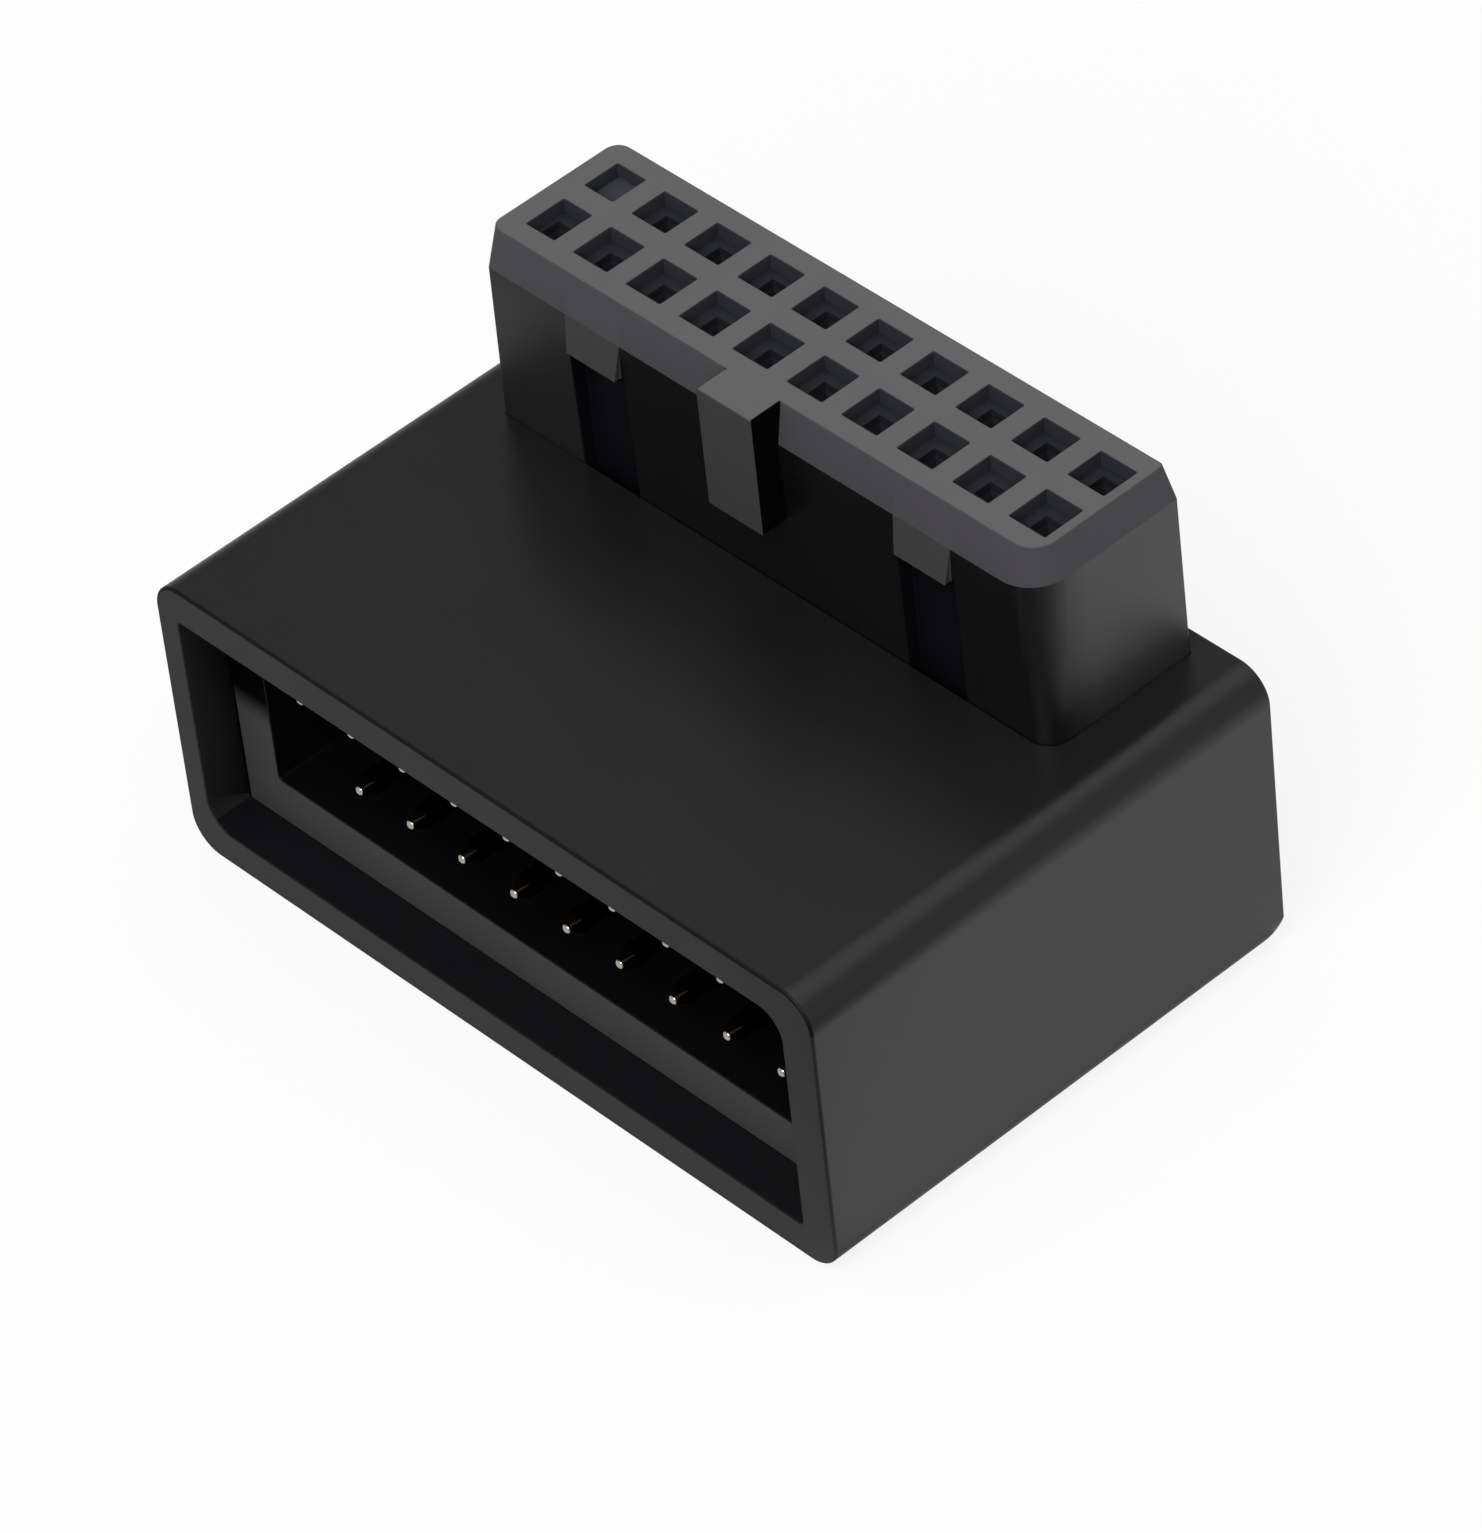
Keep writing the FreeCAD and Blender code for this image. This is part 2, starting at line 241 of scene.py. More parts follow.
class Surface:
    """Closed surfaces gathered from loops of points, in millimetres, and made into one mesh at the end."""

    def __init__(self):
        self.points = []
        self.faces = []
        self.zones = []
        self.flat = []
        self.count = 0

    def loop(self, points):
        """Keep a loop of points and give back their numbers."""
        points = np.asarray(points, float).reshape(-1, 3)
        numbers = np.arange(self.count, self.count + len(points))
        self.points.append(points)
        self.count += len(points)
        return numbers

    def skin(self, loops, zone=0, skipped=()):
        """Join loops of equal length, one to the next, with four-sided faces.

        The surface is a function of two parameters, the place along the loop and the number of the loop.
        Faces look outwards where the loops run anticlockwise and follow each other towards the viewer's side
        that the loops are seen from. Skipped holds the places along the loop that stay open, and zone is one
        number or one for each place along the loop.
        """
        numbers = [loop if loop.dtype.kind == "i" else self.loop(loop) for loop in map(np.asarray, loops)]
        stack = np.array(numbers)
        following = np.roll(stack, -1, axis=1)
        quads = np.stack([stack[:-1], following[:-1], following[1:], stack[1:]], axis=-1)
        kept = [place for place in range(stack.shape[1]) if place not in skipped]
        quads = quads[:, kept].reshape(-1, 4)
        self.faces.extend(quads.tolist())
        zones = np.broadcast_to(np.asarray(zone), stack.shape[1])[kept]
        self.zones.extend(np.tile(zones, len(stack) - 1).tolist())
        self.flat.extend([0] * len(quads))
        return numbers

    def cap(self, outer, holes, normal, zone=0):
        """Fill the flat area between an outer loop and any holes, looking along the normal."""
        rings = [np.asarray(outer)] + [np.asarray(hole) for hole in holes]
        everything = np.concatenate(self.points)
        polygons = [[Vector(point) for point in everything[ring]] for ring in rings]
        order = np.concatenate(rings)
        triangles = order[np.array(tessellate_polygon(polygons))]
        corners = everything[triangles]
        across = np.cross(corners[:, 1] - corners[:, 0], corners[:, 2] - corners[:, 0])
        turned = across @ np.asarray(normal, float) < 0
        triangles[turned] = triangles[turned][:, ::-1]
        self.faces.extend(triangles.tolist())
        self.zones.extend([zone] * len(triangles))
        self.flat.extend([1] * len(triangles))

    def build(self, name, materials, smooth_angle=35.0):
        """Join points that lie together, drop faces with no area and make the object.

        The filled flat areas give their normals to the rounded edges beside them, so they shade as planes.
        """
        points = np.concatenate(self.points)
        keys = np.round(points * JOINING_GRID).astype(np.int64)
        _, first, inverse = np.unique(keys, axis=0, return_index=True, return_inverse=True)
        inverse = inverse.reshape(-1)
        faces = []
        zones = []
        kept_flat = []
        for face, zone, flat in zip(self.faces, self.zones, self.flat):
            corners = [int(inverse[number]) for number in face]
            corners = [c for i, c in enumerate(corners) if c != corners[i - 1]]
            if len(set(corners)) == len(corners) and len(corners) > 2:
                faces.append(corners)
                zones.append(zone)
                kept_flat.append(flat)
        mesh = bpy.data.meshes.new(name)
        mesh.from_pydata((points[first] * MM).tolist(), [], faces)
        mesh.polygons.foreach_set("material_index", zones)
        mesh.polygons.foreach_set("use_smooth", [True] * len(faces))
        mesh.update()
        mesh.validate()
        piece = bpy.data.objects.new(name, mesh)
        bpy.context.scene.collection.objects.link(piece)
        for material in materials:
            mesh.materials.append(material)
        mesh.normals_split_custom_set(corner_normals(points[first], faces, kept_flat, smooth_angle))
        return piece


def corner_normals(points, faces, flat, smooth_angle):
    """A normal for each corner of each face, so that flat areas shade flat and rounded edges shade round.

    It is the mean, weighted by area, of those faces round the corner that turn less than the smooth angle
    from this face. Where one of them is a filled flat area, that area's own normal is taken.
    """
    limit = math.cos(math.radians(smooth_angle))
    area_normals = []
    around = [[] for _ in points]
    for number, corners in enumerate(faces):
        a, b, c, d = (points[corners[place]] for place in (0, 1, 2, -1))
        area_normals.append(np.cross(c - a, d - b) if len(corners) == 4 else np.cross(b - a, c - a))
        for corner in corners:
            around[corner].append(number)
    area_normals = np.array(area_normals)
    units = area_normals / np.linalg.norm(area_normals, axis=1)[:, None]
    flat = np.array(flat, bool)
    normals = []
    for number, corners in enumerate(faces):
        for corner in corners:
            near = np.array(around[corner])
            near = near[units[near] @ units[number] > limit]
            planes = near[flat[near]]
            if flat[number]:
                normals.append(units[number])
            elif len(planes):
                normals.append(units[planes[0]])
            else:
                total = area_normals[near].sum(axis=0)
                normals.append(total / np.linalg.norm(total))
    return [tuple(normal) for normal in normals]


def softened(corners, steps, shares=None):
    """Round the corners of a plane outline.

    Each corner (u, v, radius) gives steps + 1 points of an arc that is tangent to both sides; a corner that
    doesn't turn, or has no radius, gives the same number of points in one place. Shares says how far along
    its arc each point lies, evenly spread by default.
    """
    corners = np.asarray(corners, float)
    here = corners[:, :2]
    radius = corners[:, 2]
    before = here - np.roll(here, 1, axis=0)
    after = np.roll(here, -1, axis=0) - here
    angle_in = np.arctan2(before[:, 1], before[:, 0])
    angle_out = np.arctan2(after[:, 1], after[:, 0])
    lengths_in = np.hypot(before[:, 0], before[:, 1])
    lengths_out = np.hypot(after[:, 0], after[:, 1])
    turn = (angle_out - angle_in + np.pi) % (2 * np.pi) - np.pi
    turn[(lengths_in < NO_LENGTH) | (lengths_out < NO_LENGTH)] = 0
    setback = radius * np.abs(np.tan(turn / 2))
    start = here - np.stack([np.cos(angle_in), np.sin(angle_in)], -1) * setback[:, None]
    side = np.sign(turn)
    centre = start + np.stack([-np.sin(angle_in), np.cos(angle_in)], -1) * (side * radius)[:, None]
    if shares is None:
        shares = np.tile(np.linspace(0, 1, steps + 1), (len(corners), 1))
    angles = angle_in[:, None] - side[:, None] * np.pi / 2 + turn[:, None] * shares
    arcs = centre[:, None, :] + np.stack([np.cos(angles), np.sin(angles)], -1) * radius[:, None, None]
    still = (np.abs(turn) < NO_TURN) | (radius < NO_LENGTH)
    arcs[still] = here[still][:, None, :]
    return arcs.reshape(-1, 2)


def lift(outline, z):
    """A plan outline at one height."""
    return np.column_stack([outline, np.full(len(outline), float(z))])


def stand(outline, y):
    """A front-view outline (x, z) at one depth, run so that it is anticlockwise seen from the front."""
    return np.column_stack([outline[:, 0], np.full(len(outline), float(y)), outline[:, 1]])


def rectangle(low, high, radii, inset=0.0):
    """Corners of a rectangle from low-low anticlockwise, with a radius each, moved inwards by an inset."""
    places = (
        (low[0] + inset, low[1] + inset),
        (high[0] - inset, low[1] + inset),
        (high[0] - inset, high[1] - inset),
        (low[0] + inset, high[1] - inset),
    )
    return [(u, v, max(radius - inset, SMALLEST_RADIUS)) for (u, v), radius in zip(places, radii)]


def quarter_turn(count):
    """Sine and one minus cosine over a quarter turn, for a rounded edge."""
    angles = np.linspace(0, np.pi / 2, count + 1)
    return list(zip(np.sin(angles), 1 - np.cos(angles)))


# The shell
def window_outline(inset=0.0):
    """The window's outline in plan: the block's foot grown by the gap; a negative inset widens it."""
    low = (wall_left - LEAN_LEFT - WINDOW_GAP, front_wall - LEAN_FRONT - WINDOW_GAP)
    high = (wall_right + LEAN_RIGHT + WINDOW_GAP, wall_back + WINDOW_GAP)
    radii = [radius + WINDOW_GAP for radius in WALL_RADII]
    return softened(rectangle(low, high, radii, inset), BLOCK_CORNER_STEPS)


def make_shell(materials):
    """The moulded shell as loops round Y: back face, rounded back edge, sides, front edge, rim and mouth.

    The back edge's radius is small at the top and the sides and grows along the lower corners. The top and
    the bottom flat are left out of the loops and filled with an opening in each.
    """
    surface = Surface()
    steps = SHELL_CORNER_STEPS
    low = (shell_low[0], shell_low[2])
    high = (shell_high[0], shell_high[2])
    radii = (LONG_EDGE_RADIUS,) * 4

    def outer(y, inset):
        return stand(softened(rectangle(low, high, radii, inset), steps), y)

    back_y = shell_high[1]
    front_y = shell_low[1]
    growth = np.sin(np.linspace(0, np.pi / 2, steps + 1))
    growing = BACK_EDGE_RADIUS + (BACK_FOOT_RADIUS - BACK_EDGE_RADIUS) * growth
    upper = np.full(2 * (steps + 1), BACK_EDGE_RADIUS)
    edge_radii = np.concatenate([growing, growing[::-1], upper])
    plain = outer(back_y, 0)
    inwards = (outer(back_y, RIM_SOFTENING) - plain) / RIM_SOFTENING
    loops = []
    for sine, rest in reversed(quarter_turn(BACK_EDGE_STEPS)):
        loop = plain + inwards * (edge_radii * rest)[:, None]
        loop[:, 1] -= edge_radii * (1 - sine)
        loops.append(loop)
    numbers = surface.skin(loops)
    surface.cap(numbers[0], [], (0, 1, 0))
    side_start = surface.loop(outer(front_y + FRONT_EDGE, 0))
    top_flat = 3 * (steps + 1) - 1
    bottom_flat = steps
    surface.skin([numbers[-1], side_start], skipped=(top_flat, bottom_flat))

    edge = [side_start]
    for sine, rest in quarter_turn(FRONT_EDGE_STEPS)[1:]:
        edge.append(outer(front_y + FRONT_EDGE * (1 - sine), FRONT_EDGE * rest))
    edge_zones = np.full(4 * (steps + 1), SHELL_RIM)
    edge_zones[2 * (steps + 1):] = SHELL_EDGE
    edge = surface.skin(edge, zone=edge_zones)
    mouth_low = (inner_left, shell_low[2] + BOTTOM_WALL)
    mouth_high = (inner_right, inner_top)

    def mouth(y, inset, radii=MOUTH_RADII):
        corners = rectangle(mouth_low, mouth_high, radii, inset)
        x, z, radius = corners[3]
        corners[3] = (x, z - MOUTH_TOP_TILT, radius)
        return stand(softened(corners, steps), y)

    rim = [edge[-1], mouth(front_y, -RIM_SOFTENING)]
    for sine, rest in quarter_turn(SOFT_STEPS)[1:]:
        rim.append(mouth(front_y + RIM_SOFTENING * rest, -RIM_SOFTENING * (1 - sine)))
    rim_numbers = surface.skin(rim[:2], zone=SHELL_RIM)
    wall_zones = np.full(4 * (steps + 1), SHELL_INSIDE)
    wall_zones[-steps // 2:] = SHELL_LEFT_WALL
    wall_zones[:steps // 2] = SHELL_LEFT_WALL
    back_loop = mouth(header_front, 0, MOUTH_BACK_RADII)
    inner = surface.skin([rim_numbers[-1]] + rim[2:] + [back_loop], zone=wall_zones)

    hollow_low = (inner_left - HOLLOW_STEP, header_front)
    hollow_high = (inner_right + HOLLOW_STEP, inner_back)
    plan = softened(rectangle(hollow_low, hollow_high, (0, 0, 0, 0)), 0)
    opening = surface.loop(lift(plan, 0))
    ceiling = surface.loop(lift(plan, inner_top + HOLLOW_STEP))
    surface.skin([ceiling, opening], zone=SHELL_INSIDE, skipped=(0,))
    front_face = [opening[0], opening[1], ceiling[1], ceiling[0]]
    surface.cap(front_face, [inner[-1]], (0, 1, 0), zone=SHELL_INSIDE)

    window_steps = [surface.loop(lift(window_outline(-WINDOW_EDGE), shell_top))]
    for sine, rest in quarter_turn(SOFT_STEPS)[1:]:
        height = shell_top - WINDOW_EDGE * rest
        window_steps.append(surface.loop(lift(window_outline(-WINDOW_EDGE * (1 - sine)), height)))
    window_steps.append(surface.loop(lift(window_outline(), inner_top + HOLLOW_STEP)))
    surface.skin(window_steps, zone=SHELL_INSIDE)
    last_back = numbers[-1]
    top_outline = [*side_start[[top_flat + 1, top_flat]], *last_back[[top_flat, top_flat + 1]]]
    surface.cap(top_outline, [window_steps[0]], (0, 0, 1))
    surface.cap(ceiling, [window_steps[-1]], (0, 0, -1), zone=SHELL_INSIDE)
    bottom_outline = [*side_start[[bottom_flat, bottom_flat + 1]], *last_back[[bottom_flat + 1, bottom_flat]]]
    surface.cap(bottom_outline, [opening], (0, 0, -1))
    return surface.build("shell_moulding", materials)


# The socket block
def block_outline(front, left, right, back, radii, rib=0.0, ramp=0.0, ramp_half=1.0, inset=0.0, split=0.0):
    """The block's plan outline with its three features on the front wall.

    rib and ramp are how far the rib and the ramps stand out; a negative ramp is the slot's depth. split is
    the share of the front right corner that keeps the front wall's finish.
    """
    middles = (wall_left + RAMP_END_DISTANCE, connector_x + RIB_SHIFT, wall_right - RAMP_END_DISTANCE)
    halves = (ramp_half, RIB_WIDTH / 2, ramp_half)
    proud = (ramp, rib, ramp)
    line = front + inset
    corners = [(left + inset, line, max(radii[0] - inset, SMALLEST_RADIUS))]
    for middle, half, depth in zip(middles, halves, proud):
        reach = half - inset * np.sign(depth)
        radius = EDGE_SOFTENING if abs(depth) > 2 * EDGE_SOFTENING else 0
        out = line - depth
        corners += [
            (middle - reach, line, radius),
            (middle - reach, out, radius),
            (middle + reach, out, radius),
            (middle + reach, line, radius),
        ]
    corners += [
        (right - inset, line, max(radii[1] - inset, SMALLEST_RADIUS)),
        (right - inset, back - inset, max(radii[2] - inset, SMALLEST_RADIUS)),
        (left + inset, back - inset, max(radii[3] - inset, SMALLEST_RADIUS)),
    ]
    steps = BLOCK_CORNER_STEPS
    shares = np.tile(np.linspace(0, 1, steps + 1), (len(corners), 1))
    before_split = np.linspace(0, split, FRONT_STEPS_OF_CORNER + 1)
    after_split = np.linspace(split, 1, steps - FRONT_STEPS_OF_CORNER + 1)
    shares[FRONT_RIGHT_CORNER] = np.concatenate([before_split, after_split[1:]])
    return softened(corners, steps, shares)


def block_zones(
    ramp_front, ramp_side, rib_face, rib_side, plain=BLOCK_WALL, flank=BLOCK_FLANK, left_end=BLOCK_LEFT_END
):
    """The finish of each place along the block's outline, which has as many places to each corner."""
    per_corner = BLOCK_CORNER_STEPS + 1
    zones = np.full(BLOCK_CORNERS * per_corner, plain)
    flank_start = FRONT_RIGHT_CORNER * per_corner + FRONT_STEPS_OF_CORNER
    zones[flank_start:(FRONT_RIGHT_CORNER + 1) * per_corner] = flank
    zones[:per_corner] = left_end
    sides = (ramp_side, rib_side, ramp_side)
    fronts = (ramp_front, rib_face, ramp_front)
    for feature, (side, front) in enumerate(zip(sides, fronts)):
        start = (1 + 4 * feature) * per_corner
        zones[start:start + 4 * per_corner - 1] = side
        zones[start + per_corner:start + 3 * per_corner - 1] = front
    return zones


def make_block(materials):
    """The socket block as loops up Z: foot, leaning walls, ramps, band and a top face with 20 mouths."""
    surface = Surface()
    below_rib = block_zones(BLOCK_SLOT, BLOCK_SLOT_SIDE, BLOCK_WALL, BLOCK_WALL)
    beside_slots = block_zones(BLOCK_SLOT, BLOCK_SLOT_SIDE, BLOCK_FRONT, BLOCK_RIB_SIDE)
    beside_ramps = block_zones(BLOCK_FRONT, BLOCK_FRONT, BLOCK_FRONT, BLOCK_RIB_SIDE)
    in_band = block_zones(BLOCK_BAND, BLOCK_BAND, BLOCK_FRONT, BLOCK_RIB_SIDE, *(BLOCK_BAND,) * 3)
    foot_back = inner_back - FOOT_BACK_GAP
    foot_front = front_wall - LEAN_FRONT
    slot_depth = foot_front - front_wall - SLOT_CUT
    slot_bottom = inner_top - SLOT_FOOT
    rib_bottom = block_top - RIB_HEIGHT
    ramp_foot = band_bottom - RAMP_HEIGHT
    slots = (-SLOT_CUT, SLOT_WIDTH)
    ramps = (RAMP_DEPTH, RAMP_FOOT_WIDTH)

    def foot(z, back, ramp=0.0):
        """The outline below the shell's top, where the sides stand upright."""
        left = wall_left - LEAN_LEFT
        right = wall_right + LEAN_RIGHT
        half = SLOT_WIDTH / 2
        return lift(block_outline(foot_front, left, right, back, WALL_RADII, ramp=ramp, ramp_half=half), z)

    def wall(z, feature, with_rib=True):
        """The leaning walls' outline, with slots or ramps (how far proud, how wide) at fixed depths."""
        share = (z - shell_top) / (band_bottom - shell_top)
        front = front_wall - LEAN_FRONT * (1 - share)
        left = wall_left - LEAN_LEFT * (1 - share)
        right = wall_right + LEAN_RIGHT * (1 - share)
        rib = front - rib_front if with_rib else 0
        proud, width = feature
        ramp = front - front_wall + proud
        radii = np.array(WALL_RADII) * (1 - share) + np.array(BAND_RADII) * share
        split = FRONT_SHARE_OF_CORNER * share
        return lift(block_outline(front, left, right, wall_back, radii, rib, ramp, width / 2, split=split), z)

    def band(z, insets=(0, 0, 0, 0), radii=BAND_RADII, softening=0.0):
        """The band's outline, with its sides moved in by the insets and its edge by the softening."""
        front = front_wall + insets[0]
        outline = block_outline(
            front,
            wall_left + insets[1],
            wall_right - insets[2],
            wall_back - insets[3],
            radii,
            rib=front - rib_front,
            ramp=FLUSH,
            ramp_half=RAMP_TOP_WIDTH / 2,
            inset=softening,
            split=FRONT_SHARE_OF_CORNER,
        )
        return lift(outline, z)

    foot_loops = [
        foot(block_low[2], foot_back),
        foot(slot_bottom, foot_back),
        foot(slot_bottom, foot_back, slot_depth),
        foot(inner_top, foot_back, slot_depth),
        foot(inner_top, wall_back, slot_depth),
        wall(shell_top, slots, with_rib=False),
        wall(rib_bottom, slots, with_rib=False),
    ]
    numbers = surface.skin(foot_loops, zone=below_rib)
    surface.cap(numbers[0], [], (0, 0, -1))
    rib_start = surface.skin([numbers[-1], wall(rib_bottom, slots)], zone=BLOCK_FRONT)
    slot_top = surface.skin([rib_start[-1], wall(ramp_foot, slots)], zone=beside_slots)
    ramp_start = surface.skin([slot_top[-1], wall(ramp_foot, ramps)], zone=BLOCK_SLOT)
    ramp_top = surface.skin([ramp_start[-1], band(band_bottom)], zone=beside_ramps)
    band_loops = [ramp_top[-1]]
    for sine, rest in quarter_turn(SOFT_STEPS):
        height = block_top - EDGE_SOFTENING * (1 - sine)
        band_loops.append(band(height, BAND_INSETS, TOP_RADII, EDGE_SOFTENING * rest))
    band_numbers = surface.skin(band_loops, zone=in_band)
    holes = []
    for row, length in enumerate(MOUTH_LENGTHS):
        for column, x in enumerate(column_xs):
            holes.append(make_mouth(surface, x, row_ys[row], length, row, column))
    surface.cap(band_numbers[-1], holes, (0, 0, 1), zone=BLOCK_TOP)
    return surface.build("socket_block", materials)


def make_mouth(surface, x, y, length, row, column):
    """One mouth as loops going down: soft edge, square funnel, floor, throat and contact chamber."""
    left = x - MOUTH_WIDTH / 2 + (FIRST_MOUTH_TRIM if column == 0 else 0)
    low = (left, y - length / 2)
    high = (x + MOUTH_WIDTH / 2, y + length / 2)
    soft = MOUTH_SOFTENING
    floor = block_top - MOUTH_DEPTH

    def outline(inset, z):
        corners = rectangle(low, high, (MOUTH_CORNER_RADIUS,) * 4, inset)
        return lift(softened(corners, MOUTH_CORNER_STEPS), z)

    loops = []
    for sine, rest in quarter_turn(SOFT_STEPS):
        loops.append(outline(-soft * (1 - sine), block_top - soft * rest))
    loops.append(outline(0, floor))
    numbers = surface.skin(loops, zone=BLOCK_MOUTH)
    if (row, column) == KEY_MOUTH:
        surface.cap(numbers[-1], [], (0, 0, 1), zone=BLOCK_KEY_FLOOR)
        return numbers[0]

    def square(size, z):
        radii = (THROAT_CORNER_RADIUS,) * 4
        corners = rectangle((x - size / 2, y - size / 2), (x + size / 2, y + size / 2), radii)
        return lift(softened(corners, MOUTH_CORNER_STEPS), z)

    lip_loops = [square(THROAT_SIZE, floor), square(THROAT_SIZE, floor - THROAT_LIP)]
    lip = surface.skin(lip_loops, zone=BLOCK_MOUTH_FLOOR)
    throat = surface.skin([lip[-1], square(THROAT_SIZE, floor - THROAT_DEPTH)], zone=BLOCK_THROAT)
    surface.cap(numbers[-1], [lip[0]], (0, 0, 1), zone=BLOCK_MOUTH_FLOOR)
    chamber_top = floor - THROAT_DEPTH
    chamber_loops = [square(CHAMBER_SIZE, chamber_top), square(CHAMBER_SIZE, block_low[2] + CHAMBER_FLOOR)]
    chamber = surface.skin(chamber_loops, zone=BLOCK_THROAT)
    surface.cap(chamber[0], [throat[-1]], (0, 0, -1), zone=BLOCK_THROAT)
    surface.cap(chamber[-1], [], (0, 0, 1), zone=BLOCK_THROAT)
    return numbers[0]


# The box header
def make_header(materials):
    """The box header as loops round Y: back, sides, soft front rim, cavity with a key notch, and floor."""
    surface = Surface()
    upper_z = header_high[2] - HEADER_UPPER_WALL - CAVITY_ROW_GAP
    lower_z = upper_z - PITCH
    low = (header_low[0], header_low[2])
    high = (header_high[0], header_high[2])
    cavity_low = (column_xs[0] - CAVITY_END_GAP, lower_z - CAVITY_ROW_GAP)
    cavity_high = (column_xs[-1] + CAVITY_END_GAP, upper_z + CAVITY_ROW_GAP)

    def section(low, high, radius, y, inset=0.0, notch_top=None):
        """A rectangle with a notch in its upper side, which is flush with that side if it has no top."""
        corners = rectangle(low, high, (radius,) * 4, inset)
        top = high[1] - inset
        half = NOTCH_WIDTH / 2 - inset
        rise = top if notch_top is None else notch_top - inset
        soft = 0 if notch_top is None else NOTCH_CORNER_RADIUS
        notch = [
            (connector_x + half, top, soft),
            (connector_x + half, rise, soft),
            (connector_x - half, rise, soft),
            (connector_x - half, top, soft),
        ]
        return stand(softened(corners[:3] + notch + corners[3:], HEADER_CORNER_STEPS), y)

    soft = HEADER_SOFTENING
    outside = (low, high, HEADER_CORNER_RADIUS)
    loops = [section(*outside, header_back)]
    for sine, rest in quarter_turn(SOFT_STEPS):
        loops.append(section(*outside, header_front + soft * (1 - sine), soft * rest))
    numbers = surface.skin(loops)
    surface.cap(numbers[0], [], (0, 1, 0))
    notch_top = header_high[2] - NOTCH_SKIN
    notch_end = header_front + NOTCH_DEPTH
    cavity = (cavity_low, cavity_high, CAVITY_CORNER_RADIUS)
    rim = surface.skin([numbers[-1], section(*cavity, header_front, -soft, notch_top)], zone=HEADER_RIM)
    walls = [rim[-1]]
    for sine, rest in quarter_turn(SOFT_STEPS)[1:]:
        walls.append(section(*cavity, header_front + soft * rest, -soft * (1 - sine), notch_top))
    walls.append(section(*cavity, notch_end, 0, notch_top))
    walls.append(section(*cavity, notch_end, 0))
    walls.append(section(*cavity, header_back - HEADER_FLOOR, 0))
    inner = surface.skin(walls, zone=HEADER_CAVITY)
    surface.cap(inner[-1], [], (0, -1, 0), zone=HEADER_CAVITY)
    return surface.build("box_header", materials)


# The pins
def make_pin(name, materials):
    """A square pin with softened edges, carried along its bent path: tip, shaft, quarter bend, leg and tail.

    Each loop is the pin's section, a square with rounded corners, set square to the path at that place.
    """
    low, high = solid_box(name)
    x = (low[0] + high[0]) / 2
    z = high[2] - PIN_SIZE / 2
    tip_y = low[1]
    leg_y = high[1] - PIN_SIZE / 2
    bend = PIN_BEND_RADIUS + PIN_SIZE / 2
    stations = []
    for share, size in PIN_TIP_PROFILE:
        stations.append((tip_y + PIN_TIP_LENGTH * share, z, 0.0, PIN_TIP_SIZE * size))
    for share, size in PIN_SHOULDER_PROFILE:
        stations.append((tip_y + PIN_TIP_LENGTH * share, z, 0.0, PIN_SIZE * size))
    for angle in np.linspace(0, np.pi / 2, PIN_BEND_STEPS + 1):
        y = leg_y - bend + bend * np.sin(angle)
        stations.append((y, z - bend + bend * np.cos(angle), angle, PIN_SIZE))
    for rise, size in PIN_TAIL_PROFILE:
        stations.append((leg_y, low[2] + rise, np.pi / 2, PIN_SIZE * size))
    surface = Surface()
    loops = []
    for y, height, angle, size in stations:
        radius = PIN_EDGE * size / PIN_SIZE
        if y < tip_y + PIN_TIP_LENGTH / 2:
            radius = PIN_TIP_ROUNDING * size
        corners = rectangle((-size / 2, -size / 2), (size / 2, size / 2), (radius,) * 4)
        section = softened(corners, PIN_CORNER_STEPS)
        across = np.array([1.0, 0.0, 0.0])
        upward = np.array([0.0, np.sin(angle), np.cos(angle)])
        middle = np.array([x, y, height])
        loops.append(middle + section[:, :1] * across + section[:, 1:] * upward)
    loops = loops[::-1]
    numbers = surface.skin(loops[:-PIN_BRIGHT_LOOPS + 1])
    tip = surface.skin([numbers[-1]] + loops[-PIN_BRIGHT_LOOPS + 1:], zone=PIN_TIP)
    surface.cap(numbers[0], [], (0, 0, -1))
    surface.cap(tip[-1], [], (0, -1, 0), zone=PIN_TIP)
    return surface.build(name + "_plated", materials, smooth_angle=PIN_SMOOTH_ANGLE)


